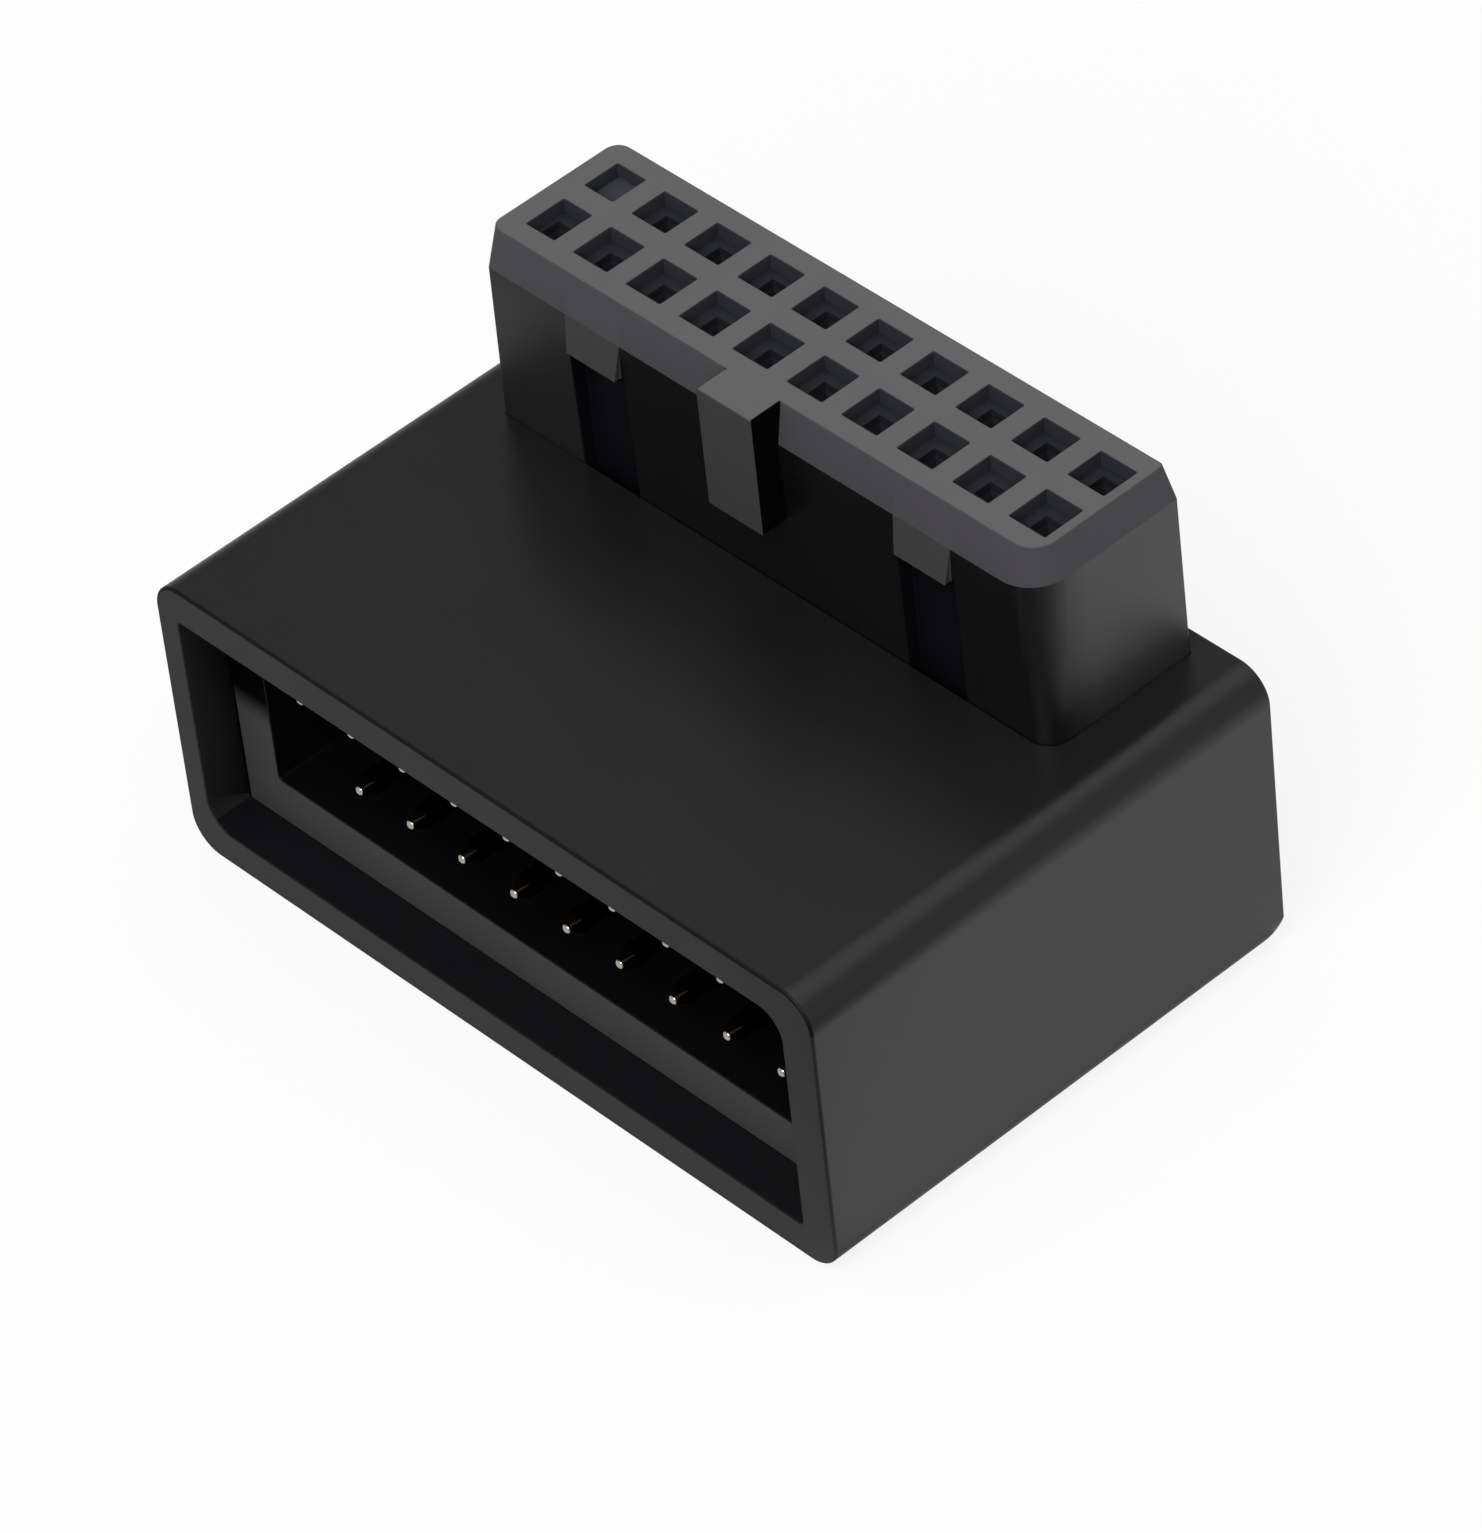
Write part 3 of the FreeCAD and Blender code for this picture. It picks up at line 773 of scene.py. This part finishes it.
# The bottom cover
def make_cover(materials):
    """The cover plate as loops up Z, with four round posts and six shallow round ejector marks underneath."""
    surface = Surface()
    plate_top = cover_low[2] + BOTTOM_WALL
    soft = COVER_SOFTENING

    def outline(inset, z):
        corners = rectangle(cover_low[:2], cover_high[:2], (COVER_CORNER_RADIUS,) * 4, inset)
        return lift(softened(corners, COVER_CORNER_STEPS), z)

    def turned(x, y, profile, normal):
        """A round feature from its profile of (radius, height), closed at the end; gives its first ring."""
        angles = np.linspace(0, 2 * np.pi, CIRCLE_POINTS, endpoint=False)
        rings = []
        for radius, z in profile:
            rings.append(lift(np.column_stack([x + radius * np.cos(angles), y + radius * np.sin(angles)]), z))
        rings = surface.skin(rings)
        surface.cap(rings[-1], [], normal)
        return rings[0]

    loops = []
    for sine, rest in reversed(quarter_turn(SOFT_STEPS)):
        loops.append(outline(soft * rest, cover_low[2] + soft * (1 - sine)))
    loops.append(outline(0, plate_top))
    numbers = surface.skin(loops)
    mark = (
        (MARK_RADIUS + MARK_EDGE_WIDTH, cover_low[2]),
        (MARK_RADIUS, cover_low[2] + MARK_EDGE_DEPTH),
        (MARK_RADIUS, cover_low[2] + MARK_DEPTH),
    )
    marks = [turned(x, y, mark, (0, 0, -1)) for x in MARK_XS for y in MARK_YS]
    surface.cap(numbers[0], marks, (0, 0, -1))
    post = (
        (POST_RADIUS, plate_top),
        (POST_RADIUS, cover_high[2] - POST_EDGE),
        (POST_RADIUS - POST_EDGE, cover_high[2]),
    )
    post_xs = (column_xs[0] - POST_END_DISTANCE, column_xs[-1] + POST_END_DISTANCE)
    post_ys = (header_back + BOARD_GAP_FRONT + POST_INSET, inner_back - BOARD_GAP_BACK - POST_INSET)
    posts = [turned(x, y, post, (0, 0, 1)) for x in post_xs for y in post_ys]
    surface.cap(numbers[-1], posts, (0, 0, 1))
    return surface.build("cover_plate", materials)


# Materials
def linear(code):
    """The linear colour of an sRGB hex code such as 2a2a2a."""
    values = np.array([int(code[place:place + 2], 16) / 255 for place in (0, 2, 4)])
    values = np.where(values <= 0.04045, values / 12.92, ((values + 0.055) / 1.055) ** 2.4)
    return (*values.tolist(), 1.0)


def add_node(tree, kind, settings=(), links=()):
    """A node with its settings, its unlinked inputs and its links: links are (input, from node, output)."""
    node = tree.nodes.new(kind)
    for key, value in dict(settings).items():
        if isinstance(key, str) and hasattr(node, key):
            setattr(node, key, value)
        else:
            node.inputs[key].default_value = value
    for key, source, output in links:
        tree.links.new(source.outputs[output], node.inputs[key])
    return node


def new_material(name):
    """A node material, its empty tree and a node that gives the object's coordinates."""
    material = bpy.data.materials.new(name)
    material.use_nodes = True
    tree = material.node_tree
    tree.nodes.clear()
    return material, tree, add_node(tree, "ShaderNodeTexCoord")


# Sockets of a colour mixing node: its two colours and its result
COLOUR_A, COLOUR_B, MIXED_COLOUR = 6, 7, 2
# Most values of a noise texture lie between these
NOISE_LOW, NOISE_HIGH = 0.3, 0.7
# Width of the faint clouds where the melt flowed, and how far they change the colour and the roughness
FLOW_CLOUD = 4.0
FLOW_COLOUR = 0.06
FLOW_ROUGHNESS = 0.03
# Grit of the mould's face, with its depth on the plain and on the polished faces
GRAIN = 0.02
GRAIN_HEIGHT = 0.01
POLISHED_HEIGHT = 0.003
GRAIN_STRENGTH = 0.35
PLASTIC_IOR = 1.5
PLAIN_GLOSS = 0.5
# Drawing marks along the wire: width, stretch along the wire, depth, strength and range of roughness
WIRE_MARK = 0.05
WIRE_STRETCH = (1.0, 0.08, 1.0)
WIRE_MARK_HEIGHT = 0.004
WIRE_MARK_STRENGTH = 0.2
WIRE_ROUGHNESS = (-0.05, 0.07)
# Spacing of the glass cloth's threads, and the length of one wave of a wave texture of scale 1
THREAD_SPACING = 0.6
WAVE_LENGTH = math.pi / 10
RESIST_ROUGHNESS = 0.35


def worked_face(tree, clouds, grain, roughness, strength, depth):
    """Links for a shader: roughness in a range that follows one pattern, and relief that follows another."""
    polish = add_node(
        tree,
        "ShaderNodeMapRange",
        {"From Min": NOISE_LOW, "From Max": NOISE_HIGH, "To Min": roughness[0], "To Max": roughness[1]},
        [("Value", clouds, "Fac")],
    )
    relief = add_node(
        tree, "ShaderNodeBump", {"Strength": strength, "Distance": depth * MM}, [("Height", grain, "Fac")]
    )
    return [("Roughness", polish, "Result"), ("Normal", relief, "Normal")]


def moulded_plastic(name, colour, roughness, grain_height=GRAIN_HEIGHT, ior=PLASTIC_IOR, shade=None):
    """A moulded plastic: an even colour with faint flow clouds, and a fine grain from the mould's face.

    Shade is painted shade, (axis, place in mm where it starts, place where it ends, dark colour, gloss left
    there), for a face that is painted darker and duller along an axis.
    """
    material, tree, place = new_material(name)
    at_place = [("Vector", place, "Object")]
    clouds = add_node(tree, "ShaderNodeTexNoise", {"Scale": 1 / (FLOW_CLOUD * MM), "Detail": 3.0}, at_place)
    grain = add_node(tree, "ShaderNodeTexNoise", {"Scale": 1 / (GRAIN * MM), "Detail": 2.0}, at_place)
    red, green, blue, alpha = linear(colour)
    dark, pale = (
        (red * change, green * change, blue * change, alpha) for change in (1 - FLOW_COLOUR, 1 + FLOW_COLOUR)
    )
    tone = add_node(
        tree, "ShaderNodeMix", {"data_type": "RGBA", COLOUR_A: dark, COLOUR_B: pale}, [(0, clouds, "Fac")]
    )
    roughness_range = (roughness - FLOW_ROUGHNESS, roughness + FLOW_ROUGHNESS)
    links = worked_face(tree, clouds, grain, roughness_range, GRAIN_STRENGTH, grain_height)
    if shade:
        axis, shade_start, shade_end, dark_colour, dull_gloss = shade
        apart = add_node(tree, "ShaderNodeSeparateXYZ", (), [("Vector", place, "Object")])
        darkness = add_node(
            tree,
            "ShaderNodeMapRange",
            {"interpolation_type": "SMOOTHSTEP", "From Min": shade_start * MM, "From Max": shade_end * MM},
            [("Value", apart, axis)],
        )
        tone = add_node(
            tree,
            "ShaderNodeMix",
            {"data_type": "RGBA", COLOUR_B: linear(dark_colour)},
            [(0, darkness, "Result"), (COLOUR_A, tone, MIXED_COLOUR)],
        )
        gloss_range = {"To Min": PLAIN_GLOSS, "To Max": dull_gloss}
        gloss = add_node(tree, "ShaderNodeMapRange", gloss_range, [("Value", darkness, "Result")])
        links.append(("Specular IOR Level", gloss, "Result"))
    links.append(("Base Color", tone, MIXED_COLOUR))
    shader = add_node(tree, "ShaderNodeBsdfPrincipled", {"IOR": ior}, links)
    add_node(tree, "ShaderNodeOutputMaterial", (), [("Surface", shader, "BSDF")])
    return material


def plated_metal(name, colour, roughness):
    """Gold over nickel on a copper alloy: a clear metal with faint drawing marks along the wire."""
    material, tree, place = new_material(name)
    stretch = add_node(tree, "ShaderNodeMapping", {"Scale": WIRE_STRETCH}, [("Vector", place, "Object")])
    mark_settings = {"Scale": 1 / (WIRE_MARK * MM), "Detail": 2.0}
    marks = add_node(tree, "ShaderNodeTexNoise", mark_settings, [("Vector", stretch, "Vector")])
    roughness_range = (roughness + WIRE_ROUGHNESS[0], roughness + WIRE_ROUGHNESS[1])
    links = worked_face(tree, marks, marks, roughness_range, WIRE_MARK_STRENGTH, WIRE_MARK_HEIGHT)
    metal = {"Base Color": linear(colour), "Metallic": 1.0}
    shader = add_node(tree, "ShaderNodeBsdfPrincipled", metal, links)
    add_node(tree, "ShaderNodeOutputMaterial", (), [("Surface", shader, "BSDF")])
    return material


def resist_laminate(name):
    """Glass and resin laminate under green solder resist, with a faint weave of the glass cloth."""
    material, tree, place = new_material(name)
    along, cross = (
        add_node(
            tree,
            "ShaderNodeTexWave",
            {"wave_type": "BANDS", "bands_direction": axis, "Scale": WAVE_LENGTH / (THREAD_SPACING * MM)},
            [("Vector", place, "Object")],
        )
        for axis in "XY"
    )
    weave = add_node(
        tree, "ShaderNodeMath", {"operation": "MULTIPLY"}, [(0, along, "Fac"), (1, cross, "Fac")]
    )
    greens = {"data_type": "RGBA", COLOUR_A: linear("0d4a2b"), COLOUR_B: linear("156b3e")}
    tone = add_node(tree, "ShaderNodeMix", greens, [(0, weave, 0)])
    resist = {"Roughness": RESIST_ROUGHNESS, "IOR": PLASTIC_IOR}
    shader = add_node(tree, "ShaderNodeBsdfPrincipled", resist, [("Base Color", tone, MIXED_COLOUR)])
    add_node(tree, "ShaderNodeOutputMaterial", (), [("Surface", shader, "BSDF")])
    return material


# An eroded mould face scatters light and hardly reflects it; a face drawn along the mould's core is dull
MATT = {"roughness": 0.6, "ior": 1.3}
DRAWN = {"roughness": 0.55, "ior": 1.3}
DULL = {"roughness": 0.5, "ior": 1.3}

shell_materials = [
    # Black polyester from a smooth mould face: dark, with a satin sheen at low angles
    moulded_plastic("black_polyester_satin", "1a1a1a", 0.24),
    # The same at the mouth's rim, where the mould's parting face leaves it a little rougher
    moulded_plastic("black_polyester_rim", "1a1a1a", 0.42),
    # The mouth's inner walls: dull, and painted nearly black as the shade inside the mouth
    moulded_plastic("black_polyester_inside", "111114", **DULL),
    # The narrow round front edge, painted darker as a line of shade between the top and the rim
    moulded_plastic("black_polyester_front_edge", "0b0b0b", **DULL),
    # The mouth's left wall, which faces the light: painted light makes it a little paler
    moulded_plastic("black_polyester_left_wall", "252627", **DULL),
]
block_materials = [
    # Grey nylon walls from a polished mould face: nearly black, with soft reflections
    moulded_plastic("grey_nylon_polished", "0f0f0f", 0.27, grain_height=POLISHED_HEIGHT),
    # The band and the top, from an eroded mould face: matt, with painted light that makes them paler than the
    # walls
    moulded_plastic("grey_nylon_band", "4e4c50", **MATT),
    moulded_plastic("grey_nylon_top_painted_light", "656565", **MATT),
    # The mouths and throats: painted shade, darker than the top, with a blue cast
    moulded_plastic("grey_nylon_mouths", "36373d", **MATT),
    moulded_plastic("grey_nylon_throats", "38383e", **MATT),
    # Right wall and round corner: less polished; painted paler as the lit side, and painted shade darkens and
    # dulls the front
    moulded_plastic("grey_nylon_flank_painted_light_and_shade", "2a2a2a", 0.4, ior=1.7, shade=("Y", 4.4, 2.6, "0a0a0a", 0.25)),
    # The rib's and the ramps' front faces: an even matt grey
    moulded_plastic("grey_nylon_matt_front", "414141", **MATT),
    # The slots: painted shade, deep black with a blue cast
    moulded_plastic("nylon_slots_painted_shade", "07080d", **DRAWN),
    # Painted shade: the mouths' floors are darker than their walls, the blocked mouth's floor is paler
    moulded_plastic("grey_nylon_mouth_floors", "26272a", **MATT),
    moulded_plastic("grey_nylon_key_floor", "3c3d41", **MATT),
    # The front wall's left end, beside the first ramp: less polished, and paler with a painted pool of light
    moulded_plastic("grey_nylon_left_end", "202020", 0.42),
    # The sides of the slots and of the rib: painted shade, black
    moulded_plastic("nylon_slot_sides_painted_shade", "0b0c12", **DRAWN),
    moulded_plastic("nylon_rib_sides_painted_shade", "020202", 0.6, ior=1.2),
]
header_materials = [
    # Black polyester again, with painted shade in the darker cavity, and a matt front rim painted paler as
    # lit, whose upper part has a painted shadow of the shell's top wall
    moulded_plastic("black_polyester_header", "1c1c1c", 0.4),
    moulded_plastic("black_polyester_cavity", "060609", **DULL),
    moulded_plastic("black_polyester_header_rim_painted_light_and_shadow", "474747", **MATT, shade=("Z", 4.25, 5.3, "030303", 0.05)),
]
cover_finishes = [moulded_plastic("black_polyester_cover", "1b1b1b", 0.35)]
pin_materials = [
    # A thin gold flash on the shafts, painted dark as shade, and a painted highlight on the ends
    plated_metal("gold_flash_pins_painted_shade", "1e1810", 0.4),
    plated_metal("pin_ends_painted_highlight", "fdfaf2", 0.25),
]
# Gold over nickel on the socket's contacts
contact_metal = plated_metal("gold_plated_contacts", "dcc083", 0.25)
board_laminate = resist_laminate("green_resist_laminate")

# Pieces
dressed = [
    (make_shell(shell_materials), "shell", "shell_plastic"),
    (make_block(block_materials), "socket_housing", "socket_plastic"),
    (make_header(header_materials), "header_housing", "header_plastic"),
    (make_cover(cover_finishes), "bottom_cover", "shell_plastic"),
]
for name in pin_names:
    dressed.append((make_pin(name, pin_materials), name, "contact_metal"))
for piece, node, slot in dressed:
    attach(piece, "root")
    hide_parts(node)

kept_solids = {name: contact_metal for name in contact_names}
kept_solids["circuit_board"] = board_laminate
for name, material in kept_solids.items():
    for material_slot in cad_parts[name].material_slots:
        material_slot.material = material


# Floor
WHITE = (1.0, 1.0, 1.0, 1.0)
PAPER_GREY = (0.6, 0.6, 0.6, 1.0)
SHADED_WHITE = (0.95, 0.95, 0.95, 1.0)
FLOOR_REACH = 1.5
# The floor lies this far under the object, so that no two faces share a plane
FLOOR_DROP = 0.02
# Share of plain white in what the camera sees; the rest takes the shadow
WHITE_SHARE = 0.86
# Steps of the painted light of the paper as the object mirrors it, along slope * X + Y: the slope, where the
# step starts and ends, the level before and after it. One is at the object's front right corner, one far to
# its right.
front_right_corner = shell_high[0] + shell_low[1]
PAPER_STEPS = (
    (1.0, front_right_corner - 3.0, front_right_corner + 3.0, 0.42, 0.8),
    (-0.81, -22.2, -17.7, 0.3, 1.0),
)
# Painted shadow: under the object it keeps this share of its light, and gets clear of it within these
# distances
COVERED_SHARE = 0.4
COVERED_REACH = (("X", shell_high[0], 0.8), ("Y", shell_high[1], 0.1))


def make_floor():
    """A plain white floor that the object stands on.

    The camera sees white paper with a faint soft shadow. Mirrored in the object, the paper glows with painted
    light, bright behind its right side and greyer in front of it, as under a window on one side, with a
    painted shadow under the object.
    """
    material, tree, place = new_material("white_paper_floor")
    path = add_node(tree, "ShaderNodeLightPath")
    direct_rays = [(0, path, "Is Camera Ray"), (1, path, "Is Transmission Ray")]
    seen = add_node(tree, "ShaderNodeMath", {"operation": "MAXIMUM"}, direct_rays)
    apart = add_node(tree, "ShaderNodeSeparateXYZ", (), [("Vector", place, "Object")])
    plan_place = [(0, apart, "X"), (2, apart, "Y")]
    steps = []
    for slope, start, end, before, after in PAPER_STEPS:
        along = add_node(tree, "ShaderNodeMath", {"operation": "MULTIPLY_ADD", 1: slope}, plan_place)
        step = {"interpolation_type": "SMOOTHSTEP", "From Min": start * MM, "From Max": end * MM}
        step.update({"To Min": before, "To Max": after})
        steps.append(add_node(tree, "ShaderNodeMapRange", step, [("Value", along, 0)]))
    beside = []
    for axis, edge, reach in COVERED_REACH:
        distance = add_node(tree, "ShaderNodeMath", {"operation": "ABSOLUTE"}, [(0, apart, axis)])
        step = {"interpolation_type": "SMOOTHSTEP", "From Min": edge * MM, "From Max": (edge + reach) * MM}
        step["To Min"] = COVERED_SHARE
        beside.append(add_node(tree, "ShaderNodeMapRange", step, [("Value", distance, 0)]))
    uncovered = add_node(
        tree, "ShaderNodeMath", {"operation": "MAXIMUM"}, [(0, beside[0], 0), (1, beside[1], 0)]
    )
    mirrored_light = steps[0]
    for share in (steps[1], uncovered):
        mirrored_light = add_node(
            tree, "ShaderNodeMath", {"operation": "MULTIPLY"}, [(0, mirrored_light, 0), (1, share, 0)]
        )
    paper = add_node(tree, "ShaderNodeBsdfDiffuse", {"Color": PAPER_GREY})
    shaded = add_node(tree, "ShaderNodeBsdfDiffuse", {"Color": SHADED_WHITE})
    white = add_node(tree, "ShaderNodeEmission", {"Color": WHITE, "Strength": 1.0})
    shadowed = add_node(tree, "ShaderNodeMixShader", {0: WHITE_SHARE}, [(1, shaded, 0), (2, white, 0)])
    mirrored = add_node(tree, "ShaderNodeEmission", {"Color": WHITE}, [("Strength", mirrored_light, 0)])
    gloss = add_node(
        tree, "ShaderNodeMixShader", (), [(0, path, "Is Glossy Ray"), (1, paper, 0), (2, mirrored, 0)]
    )
    mixed = add_node(tree, "ShaderNodeMixShader", (), [(0, seen, 0), (1, gloss, 0), (2, shadowed, 0)])
    add_node(tree, "ShaderNodeOutputMaterial", (), [("Surface", mixed, 0)])
    mesh = bpy.data.meshes.new("floor")
    signs = ((-1, -1), (1, -1), (1, 1), (-1, 1))
    corners = [(x * FLOOR_REACH, y * FLOOR_REACH, -FLOOR_DROP * MM) for x, y in signs]
    mesh.from_pydata(corners, [], [(0, 1, 2, 3)])
    mesh.materials.append(material)
    floor = bpy.data.objects.new("floor", mesh)
    bpy.context.scene.collection.objects.link(floor)


make_floor()


# Light
# The ceiling gets brighter between these elevations, in degrees, from the room's level to white
CEILING_START = 42
CEILING_END = 66
ROOM_LEVEL = 0.22
# A weaker light from behind the right side: its direction, the cosines where it starts and is full, its level
SIDE_DIRECTION = (0.775, 0.632, 0.0)
SIDE_START = 0.4
SIDE_END = 0.95
SIDE_LEVEL = 0.22
# The lamp in front: its place, the point it faces, its size in metres and its power
LAMP_PLACE = (0.135, -0.293, 0.325)
LAMP_TARGET = (0, 0, 0.01)
LAMP_SIZE = 0.3
LAMP_POWER = 1.3


def make_world():
    """A dim room with a bright ceiling and a weaker light beside it, plain white to the camera."""
    world = bpy.data.worlds.new("studio")
    bpy.context.scene.world = world
    world.use_nodes = True
    tree = world.node_tree
    tree.nodes.clear()
    path = add_node(tree, "ShaderNodeLightPath")
    direction = add_node(tree, "ShaderNodeTexCoord")
    apart = add_node(tree, "ShaderNodeSeparateXYZ", (), [("Vector", direction, "Generated")])
    turned_to = {"operation": "DOT_PRODUCT", 1: SIDE_DIRECTION}
    side = add_node(tree, "ShaderNodeVectorMath", turned_to, [(0, direction, "Generated")])
    ceiling_start, ceiling_end = (math.sin(math.radians(angle)) for angle in (CEILING_START, CEILING_END))
    lights = (
        (apart, "Z", ceiling_start, ceiling_end, ROOM_LEVEL, 1.0),
        (side, "Value", SIDE_START, SIDE_END, 0.0, SIDE_LEVEL),
    )
    levels = []
    for source, output, start, end, before, after in lights:
        step = {"interpolation_type": "SMOOTHSTEP", "From Min": start, "From Max": end}
        step.update({"To Min": before, "To Max": after})
        levels.append(add_node(tree, "ShaderNodeMapRange", step, [("Value", source, output)]))
    both = add_node(tree, "ShaderNodeMath", {"operation": "ADD"}, [(0, levels[0], 0), (1, levels[1], 0)])
    room = add_node(tree, "ShaderNodeBackground", {"Color": WHITE}, [("Strength", both, 0)])
    white = add_node(tree, "ShaderNodeBackground", {"Color": WHITE, "Strength": 1.0})
    mixed = add_node(
        tree, "ShaderNodeMixShader", (), [(0, path, "Is Camera Ray"), (1, room, 0), (2, white, 0)]
    )
    add_node(tree, "ShaderNodeOutputWorld", (), [("Surface", mixed, 0)])


def make_lamp():
    """A square lamp that faces the object."""
    lamp = bpy.data.lights.new("softbox_in_front", "AREA")
    lamp.shape = "RECTANGLE"
    lamp.size = LAMP_SIZE
    lamp.size_y = LAMP_SIZE
    lamp.energy = LAMP_POWER
    holder = bpy.data.objects.new("softbox_in_front", lamp)
    bpy.context.scene.collection.objects.link(holder)
    holder.location = LAMP_PLACE
    holder.rotation_euler = (Vector(LAMP_TARGET) - Vector(LAMP_PLACE)).to_track_quat("-Z", "Y").to_euler()


make_world()
make_lamp()


# Camera, fitted to the photo's edges together with the object's sizes
def make_camera():
    """A camera from its azimuth, elevation, roll, aim, distance and focal length in pixels of 1482 x 1533."""
    azimuth = math.radians(50.8276)
    elevation = math.radians(41.8859)
    roll = math.radians(-6.6213)
    aim = Vector((3.51, -2.1356, 8.0)) * MM
    distance = 240.2073 * MM
    focal_pixels = 9437.3972
    photo_height = 1533
    sensor = 36.0
    flat = math.cos(elevation)
    towards = Vector((math.sin(azimuth) * flat, -math.cos(azimuth) * flat, math.sin(elevation)))
    right = (-towards).cross(Vector((0, 0, 1))).normalized()
    up = right.cross(-towards)
    right_rolled = right * math.cos(roll) + up * math.sin(roll)
    up_rolled = up * math.cos(roll) - right * math.sin(roll)
    camera = bpy.data.cameras.new("camera")
    camera.sensor_width = sensor
    camera.lens = focal_pixels * sensor / photo_height
    camera.clip_start = 0.01
    camera.clip_end = 10.0
    holder = bpy.data.objects.new("camera", camera)
    bpy.context.scene.collection.objects.link(holder)
    turn = Matrix((right_rolled, up_rolled, towards)).transposed()
    holder.matrix_world = Matrix.Translation(aim + towards * distance) @ turn.to_4x4()
    bpy.context.scene.camera = holder


make_camera()
bpy.context.scene.view_settings.view_transform = "Standard"
